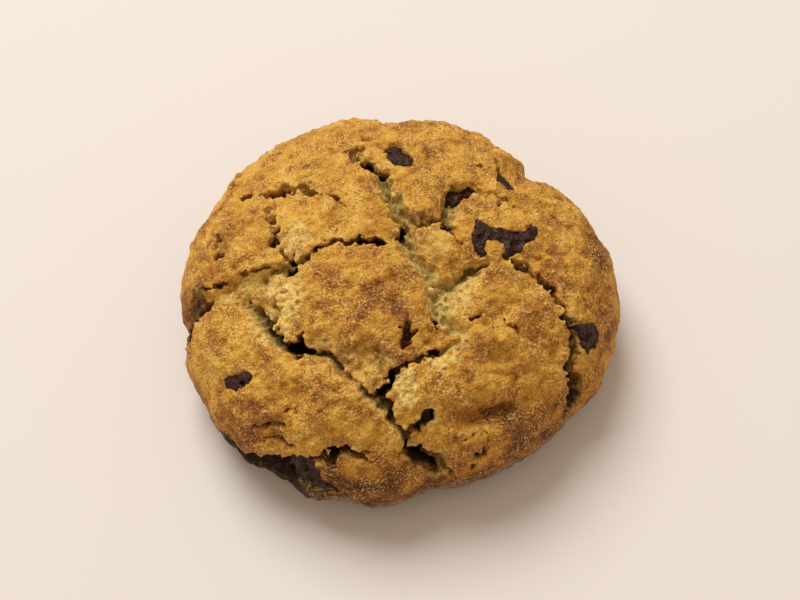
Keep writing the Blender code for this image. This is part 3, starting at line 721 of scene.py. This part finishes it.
def surface_of(name, values, low, voxel):
    """The surface where values in a grid pass through 0, as an object. The grid starts at low, in mm."""
    grid = openvdb.FloatGrid(float(values.max()))
    grid.copyFromArray(values)
    points, triangles, quads = grid.convertToPolygons(isovalue=0.0, adaptivity=0.0)
    mesh = bpy.data.meshes.new(name)
    faces = [*triangles[:, ::-1].tolist(), *quads[:, ::-1].tolist()]
    mesh.from_pydata(((points * voxel + low) * MM).tolist(), [], faces)
    mesh.validate()
    made = bpy.data.objects.new(name, mesh)
    bpy.context.scene.collection.objects.link(made)
    return made


def thin_out(made, most):
    """Merges triangles where the surface is flattest, until at most that many are left."""
    count = sum(len(polygon.vertices) - 2 for polygon in made.data.polygons)
    if count > most:
        modifier = made.modifiers.new("thin", "DECIMATE")
        modifier.ratio = most / count
        graph = bpy.context.evaluated_depsgraph_get()
        thinned = bpy.data.meshes.new_from_object(made.evaluated_get(graph))
        made.modifiers.remove(modifier)
        made.data = thinned


def make_dough():
    """The dough. Away from the crust and the cracks, its field is just MARGIN in or out."""
    low, high = (np.array(corner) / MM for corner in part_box("cookie"))
    low, high = low - MARGIN, high + MARGIN
    points, shape = grid_points(low, high, VOXEL)
    values = np.full(len(points), MARGIN, np.float32)
    u, v, out = to_map(points)
    layers = read_map(u, v)
    under = layers[:, RELIEF] - out
    crack, hole = (
        np.where(layers[:, n + EDGE] < NEAR_OPENING, layers[:, n + DEPTH] + UNDER_FLOOR, CRUST_DEPTH)
        for n in (OF_CRACK, OF_HOLE)
    )
    deep = under > np.minimum(np.maximum(crack, hole), DEEPEST)
    values[deep] = -MARGIN
    near = (under > TOP_DEPTH) & ~deep & (points[:, 2] > -1)
    values[near] = dough_field(points[near]).clip(-MARGIN, MARGIN)
    bottom = points[:, 2] < MARGIN
    values[bottom] = np.maximum(values[bottom], base_height(points[bottom]) - points[bottom, 2])
    made = surface_of("cookie_dough", values.reshape(shape), low, VOXEL)
    thin_out(made, MOST_TRIANGLES)
    made.data.shade_smooth()
    return made


def make_chocolate(name):
    """A piece of chocolate: its outline made thick, with worn edges, broken facets and an uneven top."""
    _, thickness, _, edge, corners = CHOCOLATE[name]
    middle, axes = chocolate_frame(name)
    reach = max(math.hypot(*corner) for corner in corners) + CHOCOLATE_MARGIN
    low, high = (-reach, -reach, -thickness - CHOCOLATE_MARGIN), (reach, reach, CHOCOLATE_MARGIN)
    places, shape = grid_points(low, high, CHOCOLATE_VOXEL)
    points = places @ axes.astype(np.float32) + middle.astype(np.float32)
    side = outline_distance(places[:, :2] + 0.16 * noise(points, 1.6, 53)[:, None], corners) - OUTLINE_MARGIN
    side += BELLY * (places[:, 2] / thickness + 0.5) ** 2
    facets = 0.4 * abs(noise(points, 3.4, 51)) + 0.16 * abs(noise(points, 1.6, 54))
    top = places[:, 2] + facets + 0.04 * noise(points, 0.9, 52)
    field = np.maximum(smooth_max(side, top, edge), -places[:, 2] - thickness)
    made = surface_of("chocolate_" + name, field.reshape(shape), np.array(low), CHOCOLATE_VOXEL)
    placed = np.eye(4)
    placed[:3, :3], placed[:3, 3] = axes.T, middle * MM
    made.data.transform(Matrix(placed.tolist()))
    made.data.shade_smooth()
    return made


def add_values(made, name, values):
    """Stores a number at each vertex, which the materials read."""
    made.data.attributes.new(name, "FLOAT", "POINT").data.foreach_set("value", values.astype(np.float32))


def vertex_points(made):
    """The vertices' places in mm."""
    points = np.empty(len(made.data.vertices) * 3, np.float32)
    made.data.vertices.foreach_get("co", points)
    return points.reshape(-1, 3) / np.float32(MM)


def colour_dough(made):
    """Stores what the dough's material reads: crumb is how much of the pale inside shows, crumb_shade how
    much painted shade turns that olive, deep how much painted shade darkens it down a crack, with the places
    painted near black, tone how brown the crust is, with painted shade in grain gaps, pits, troughs and on
    the front, and flour how floury it is."""
    points = vertex_points(made)
    layers, under, _, _ = dough_parts(points)
    edge = layers[:, EDGE]
    opened = ramp(under, 0.2, 0.9) * ramp(edge, 1.0, -0.2)
    broken = layers[:, PALE].clip(0, 1) * ramp(noise(points, 1.6, 31), -1.6, 0.4)
    lip = 0.45 * ramp(edge, 1.3, 0.2) * ramp(layers[:, HALF], 0.3, 0.9)
    lip *= ramp(noise(points, 1.8, 35), -0.6, 0.8)
    add_values(made, "crumb", np.maximum(opened * layers[:, INSIDE], np.maximum(broken, lip * (1 - opened))))

    # Painted shade: darker down the cracks and holes, the deeper the darker, together with the places painted
    # near black (painted shadow under the hem, painted shade, burnt spots)
    shade = layers[:, SHADE] * ramp(under, 0.5, 2.6)
    black = layers[:, BLACK] * ramp(noise(points, 1.6, 36) + layers[:, BLACK], -1.4, 0.0)
    add_values(made, "deep", np.maximum(opened * np.maximum(shade, ramp(under, 2.2, 5.5)), 0.94 * black))
    # Painted shade that turns the crumb olive down the cracks and in sunken broken patches
    sunken = 0.8 * layers[:, ROUGH] * ramp(-layers[:, RELIEF], 1.3, 2.6)
    add_values(made, "crumb_shade", np.maximum(opened * ramp(under, 0.3, 2.4), sunken))

    # Darker towards the base all round, and painted shade on the front's lower side, which faces away from
    # the key light
    foot = ramp(points[:, 2], 13, 4)
    front = ramp(-points[:, 1], 15, 34) * ramp(points[:, 2], 20, 7)
    tone = layers[:, BROWN_AND_SHADE] + 0.22 * noise(points, 7.0, 32) + 0.15 * noise(points, 3.0, 33)
    tone = tone + foot * 0.5 + front * 0.76 + 0.01
    # Painted shade in the gaps between the crust's grains and between the broken crumb's grains
    gaps = (0.45 - crumbs(points, SKIN_GRAIN, SKIN_SEED)) * 0.3
    gaps -= crumb_grains(points) * layers[:, ROUGH] * 0.8
    add_values(made, "tone", tone + gaps + opened * (1 - layers[:, INSIDE]) * 0.7)

    # The flour reaches higher at the front
    streaks = 0.3 + 0.7 * ramp(noise(points * np.float32((1, 1, 2.5)), 2.0, 34), -0.6, 1.1)
    front = ramp(-points[:, 1], 5, 25)
    height = points[:, 2] + 0.8 * noise(points, 3.0, 37)
    flour = ramp(height, 4.4 + 4.8 * front, 2.4 + 3.8 * front) * streaks
    add_values(made, "flour", flour * (1 - 0.95 * (1.6 * layers[:, BLACK]).clip(0, 1)))


# ------------------------------
# Materials, with colours as they look on screen, 0 to 255

CRUST_COLOURS = [
    (0, (238, 182, 72)), (0.3, (214, 150, 46)), (0.52, (176, 110, 27)), (0.75, (128, 70, 15)),
    (1, (84, 40, 10)),
]
PALEST_TONE, BROWNEST_TONE = -0.7, 1.3  # the tones at the first and the last of them
CRUMB_COLOURS = [(0.3, (196, 156, 70)), (0.5, (248, 210, 112)), (0.7, (255, 240, 168))]
# The olive of painted shade on the crumb
SHADED_CRUMB = (150, 124, 54)
# Speckles: partly the crust's own sugary colour, partly painted glints and painted shade of grains too fine
# for the mesh
LIGHT_SPECKLE_AND_GLINT = (252, 212, 136)
DARK_SPECKLE_AND_SHADE = (104, 56, 14)
# The dark of painted shade down cracks, of the painted shadow under the hem, and of burnt spots
SHADE_AND_BURNT_DARK = (38, 16, 6)
FLOUR = (164, 148, 124)
DARK_CHOCOLATE = (48, 24, 14)
CHOCOLATE_BLOOM = (96, 66, 50)
PAPER = (241, 229, 216)


def feed(tree, socket, value):
    """Links an output to the socket, or sets it to a plain value."""
    if isinstance(value, bpy.types.NodeSocket):
        tree.links.new(value, socket)
    else:
        socket.default_value = value


def add_node(tree, kind, inputs=(), **settings):
    """A node with its settings, and its inputs by name or number: a value, or an output to link."""
    made = tree.nodes.new("ShaderNode" + kind)
    for name, value in settings.items():
        setattr(made, name, value)
    for name, value in dict(inputs).items():
        feed(tree, made.inputs[name], value)
    return made


def linear(screen):
    """A colour as it looks on screen, as the shader's linear numbers."""
    share = np.array(screen) / 255
    return (*np.where(share <= 0.04045, share / 12.92, ((share + 0.055) / 1.055) ** 2.4).tolist(), 1.0)


def mixed(tree, amount, first, second):
    """The colour that is amount of the way from first to second."""
    made = add_node(tree, "Mix", data_type="RGBA")
    values = {("Factor", "VALUE"): amount, ("A", "RGBA"): first, ("B", "RGBA"): second}
    for socket in made.inputs:
        if (socket.name, socket.type) in values:
            feed(tree, socket, values[socket.name, socket.type])
    return next(socket for socket in made.outputs if socket.type == "RGBA")


def maths(tree, operation, *values):
    return add_node(tree, "Math", enumerate(values), operation=operation).outputs[0]


def fitted(tree, value, start, end, low=0.0, high=1.0):
    """value from start to end, read as low to high."""
    ends = {"From Min": start, "From Max": end, "To Min": low, "To Max": high}
    return add_node(tree, "MapRange", {"Value": value, **ends}).outputs["Result"]


def grain(tree, size, detail, roughness=0.5):
    """Noise with bumps about size mm apart."""
    place = add_node(tree, "TexCoord").outputs["Object"]
    inputs = {"Vector": place, "Scale": 1 / (size * MM), "Detail": detail, "Roughness": roughness}
    return add_node(tree, "TexNoise", inputs).outputs["Fac"]


def colour_steps(tree, value, steps):
    """A colour ramp: steps are (position, colour on screen)."""
    made = add_node(tree, "ValToRGB", {"Fac": value})
    points = made.color_ramp.elements
    while len(points) < len(steps):
        points.new(1.0)
    for point, (position, colour) in zip(points, steps):
        point.position = position
        point.color = linear(colour)
    return made.outputs["Color"]


def attribute(tree, name):
    return add_node(tree, "Attribute", attribute_name=name).outputs["Fac"]


def bump(tree, size, detail, strength, height, over=None):
    """Bumps about size mm apart and height mm high, over those of another bump."""
    inputs = {"Strength": strength, "Distance": height * MM, "Height": grain(tree, size, detail)}
    if over is not None:
        inputs["Normal"] = over
    return add_node(tree, "Bump", inputs).outputs["Normal"]


def start_material(name):
    made = bpy.data.materials.new(name)
    made.use_nodes = True
    return made, made.node_tree, made.node_tree.nodes["Principled BSDF"]


def finish_material(tree, shader, colour, normal, roughness, specular):
    tree.links.new(colour, shader.inputs["Base Color"])
    tree.links.new(normal, shader.inputs["Normal"])
    shader.inputs["Roughness"].default_value = roughness
    shader.inputs["Specular IOR Level"].default_value = specular


def dough_material():
    """Crust and crumb, with grains on both and speckles partly painted as glints and shade, then painted
    shade and the places painted near black, and flour on top.
    """
    made, tree, shader = start_material("dough")
    tone = maths(tree, "ADD", attribute(tree, "tone"), fitted(tree, grain(tree, 1.2, 3), 0.3, 0.7, -0.2, 0.2))
    crust = colour_steps(tree, fitted(tree, tone, PALEST_TONE, BROWNEST_TONE), CRUST_COLOURS)
    inside = colour_steps(tree, grain(tree, 0.9, 3), CRUMB_COLOURS)
    # Painted shade turns the crumb olive
    inside = mixed(tree, maths(tree, "MULTIPLY", attribute(tree, "crumb_shade"), 0.75), inside, linear(SHADED_CRUMB))
    crumb = attribute(tree, "crumb")
    colour = mixed(tree, crumb, crust, inside)
    # Light and dark speckles: partly own colour, partly painted glints and painted shade on fine grains
    speckle = fitted(tree, grain(tree, 0.42, 2, 0.65), 0.36, 0.64)
    strength = fitted(tree, grain(tree, 4.0, 2), 0.38, 0.62, 0.35, 1.0)
    light = maths(tree, "MULTIPLY", fitted(tree, speckle, 0.56, 1.0, 0.0, 0.7), strength)
    on_crumb = fitted(tree, crumb, 0.0, 1.0, 1.0, 0.5)
    dark = maths(tree, "MULTIPLY", fitted(tree, speckle, 0.44, 0.0, 0.0, 0.6), on_crumb)
    colour = mixed(tree, light, colour, linear(LIGHT_SPECKLE_AND_GLINT))
    colour = mixed(tree, maths(tree, "MULTIPLY", dark, strength), colour, linear(DARK_SPECKLE_AND_SHADE))
    # Painted shade down the cracks and holes, and the places painted near black
    colour = mixed(tree, attribute(tree, "deep"), colour, linear(SHADE_AND_BURNT_DARK))
    colour = mixed(tree, maths(tree, "MULTIPLY", attribute(tree, "flour"), 0.95), colour, linear(FLOUR))
    fine = bump(tree, 0.5, 3, 1.0, 0.5)
    coarse = bump(tree, 1.3, 2, 0.5, 0.5, over=fine)
    finish_material(tree, shader, colour, coarse, roughness=0.72, specular=0.25)
    return made


def chocolate_material():
    made, tree, shader = start_material("chocolate")
    bloom = fitted(tree, grain(tree, 1.6, 4, 0.6), 0.35, 0.75, 0.0, 0.5)
    colour = mixed(tree, bloom, linear(DARK_CHOCOLATE), linear(CHOCOLATE_BLOOM))
    finish_material(tree, shader, colour, bump(tree, 0.5, 3, 0.4, 0.1), roughness=0.42, specular=0.16)
    return made


# ------------------------------
# Stage, lights and camera

FLOOR_SIZE = 3
KEY_PLACE, KEY_SIZE, KEY_POWER, KEY_COLOUR = (-0.40, 0.72, 1.18), 0.95, 17.3, (0.87, 0.93, 1.0)
LIGHT_TARGET = (0, 0, 0.01)
ROOM_COLOUR, ROOM_STRENGTH = (1.0, 0.87, 0.75, 1), 0.455
LENS, SENSOR = 70, 36
CAMERA_ELEVATION = 58
CAMERA_DISTANCE = 0.300
CAMERA_TARGET = (0.0003, -0.0002, 0.0117)


def make_stage():
    bpy.ops.mesh.primitive_plane_add(size=FLOOR_SIZE, location=(0, 0, 0))
    floor = bpy.context.object
    floor.name = "floor"
    made, _, shader = start_material("paper")
    shader.inputs["Base Color"].default_value = linear(PAPER)
    shader.inputs["Roughness"].default_value = 0.9
    floor.data.materials.append(made)


def aim(made, place, target):
    made.location = place
    made.rotation_euler = (Vector(target) - Vector(place)).to_track_quat("-Z", "Y").to_euler()


def make_lights():
    """One large soft light from behind, and a warm room."""
    light = bpy.data.lights.new("key", "AREA")
    light.shape = "DISK"
    light.size = KEY_SIZE
    light.energy = KEY_POWER
    light.color = KEY_COLOUR
    key = bpy.data.objects.new("key", light)
    bpy.context.scene.collection.objects.link(key)
    aim(key, KEY_PLACE, LIGHT_TARGET)
    world = bpy.data.worlds.new("studio")
    bpy.context.scene.world = world
    world.use_nodes = True
    back = world.node_tree.nodes["Background"]
    back.inputs["Color"].default_value = ROOM_COLOUR
    back.inputs["Strength"].default_value = ROOM_STRENGTH


def make_camera():
    camera = bpy.data.objects.new("camera", bpy.data.cameras.new("camera"))
    camera.data.lens = LENS
    camera.data.sensor_width = SENSOR
    bpy.context.scene.collection.objects.link(camera)
    bpy.context.scene.camera = camera
    tilt = math.radians(CAMERA_ELEVATION)
    back = Vector((0, -math.cos(tilt), math.sin(tilt)))
    aim(camera, Vector(CAMERA_TARGET) + back * CAMERA_DISTANCE, CAMERA_TARGET)


make_camera()
make_stage()
make_lights()
bpy.context.scene.view_settings.view_transform = "Standard"

dough = make_dough()
colour_dough(dough)
dough.data.materials.append(dough_material())
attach(dough, "root")
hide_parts("cookie")
chocolate = chocolate_material()
for name in CHOCOLATE:
    piece = make_chocolate(name)
    piece.data.materials.append(chocolate)
    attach(piece, "root")
    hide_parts(name)
